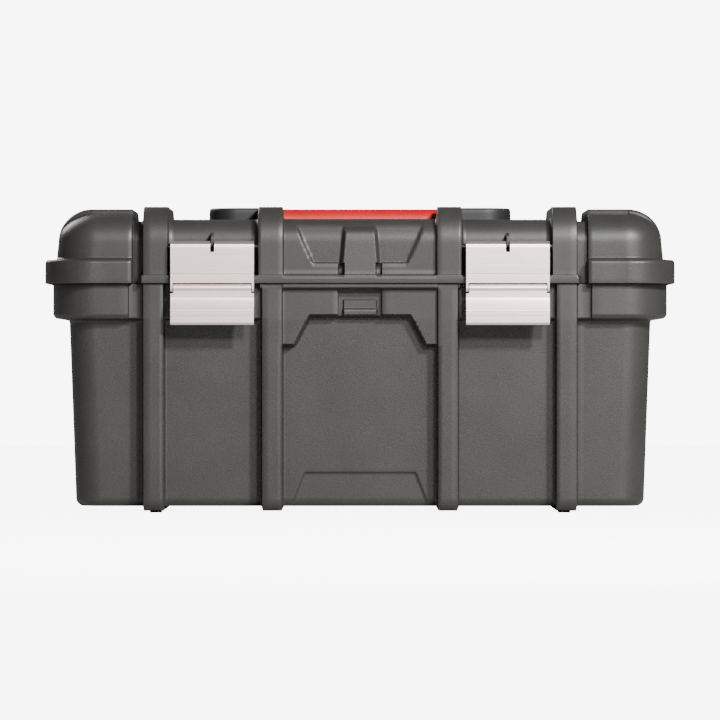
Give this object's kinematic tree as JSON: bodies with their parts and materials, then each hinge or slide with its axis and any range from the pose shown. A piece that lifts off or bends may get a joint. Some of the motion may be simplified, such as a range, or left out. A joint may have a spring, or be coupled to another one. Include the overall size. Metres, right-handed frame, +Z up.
{
  "type": "toolbox with tray",
  "caption": "Long plastic toolbox with a ribbed hinged lid, metal draw latches, a folding carry handle with a soft grip and a lift-out tray.",
  "frame": {"origin": "on the floor under the feet, midway between the ends and midway between the latch grips at the front and the hinge barrels at the rear", "axes": "+X along the length to the right of someone facing the latches, +Y from front to rear, +Z up"},
  "size_m": [0.565, 0.32, 0.274],
  "materials": {
    "charcoal_plastic": "fine moulded grain",
    "black_plastic": "satin",
    "red_grip": "soft matt",
    "red_plastic": "satin",
    "latch_metal": "bead-blasted and clear anodised",
    "pin_steel": "black oxide"
  },
  "bodies": {
    "body": {"body_shell": "charcoal_plastic", "hinge_pin_left": "pin_steel", "hinge_pin_right": "pin_steel"},
    "lid": {"lid_shell": "charcoal_plastic", "latch_pivot_pin_left": "pin_steel", "latch_pivot_pin_right": "pin_steel", "handle_pin_left": "pin_steel", "handle_pin_right": "pin_steel"},
    "handle": {"handle_frame": "black_plastic", "handle_grip": "red_grip"},
    "tray": {"tray": "black_plastic", "tray_divider_left": "red_plastic", "tray_divider_right": "red_plastic", "tray_handle": "red_plastic"},
    "latch_left": {"latch_plate_left": "latch_metal", "latch_knuckle_pin_left": "pin_steel"},
    "lever_left": {"latch_lever_left": "latch_metal"},
    "latch_right": {"latch_plate_right": "latch_metal", "latch_knuckle_pin_right": "pin_steel"},
    "lever_right": {"latch_lever_right": "latch_metal"}
  },
  "joints": [
    {"name": "lid_hinge", "type": "hinge", "parent": "body", "child": "lid", "pos_m": [0, 0.154, 0.205], "axis": [-1, 0, 0], "range_deg": [0, 105]},
    {"name": "tray_lift", "type": "slide", "parent": "body", "child": "tray", "axis": [0, 0, 1], "range_m": [0, 0.11]},
    {"name": "handle_pivot", "type": "hinge", "parent": "lid", "child": "handle", "pos_m": [0, 0, 0.2602], "axis": [-1, 0, 0], "range_deg": [0, 90]},
    {"name": "latch_pivot_left", "type": "hinge", "parent": "lid", "child": "latch_left", "pos_m": [-0.132, -0.144, 0.2384], "axis": [-1, 0, 0], "range_deg": [0, 90]},
    {"name": "lever_pivot_left", "type": "hinge", "parent": "latch_left", "child": "lever_left", "pos_m": [-0.132, -0.1517, 0.201], "axis": [-1, 0, 0], "range_deg": [0, 90]},
    {"name": "latch_pivot_right", "type": "hinge", "parent": "lid", "child": "latch_right", "pos_m": [0.132, -0.144, 0.2384], "axis": [-1, 0, 0], "range_deg": [0, 90]},
    {"name": "lever_pivot_right", "type": "hinge", "parent": "latch_right", "child": "lever_right", "pos_m": [0.132, -0.1517, 0.201], "axis": [-1, 0, 0], "range_deg": [0, 90]}
  ],
  "couplings": [
    {"joint": "tray_lift", "follows": "lid_hinge", "m_per_rad": 0.06}
  ]
}
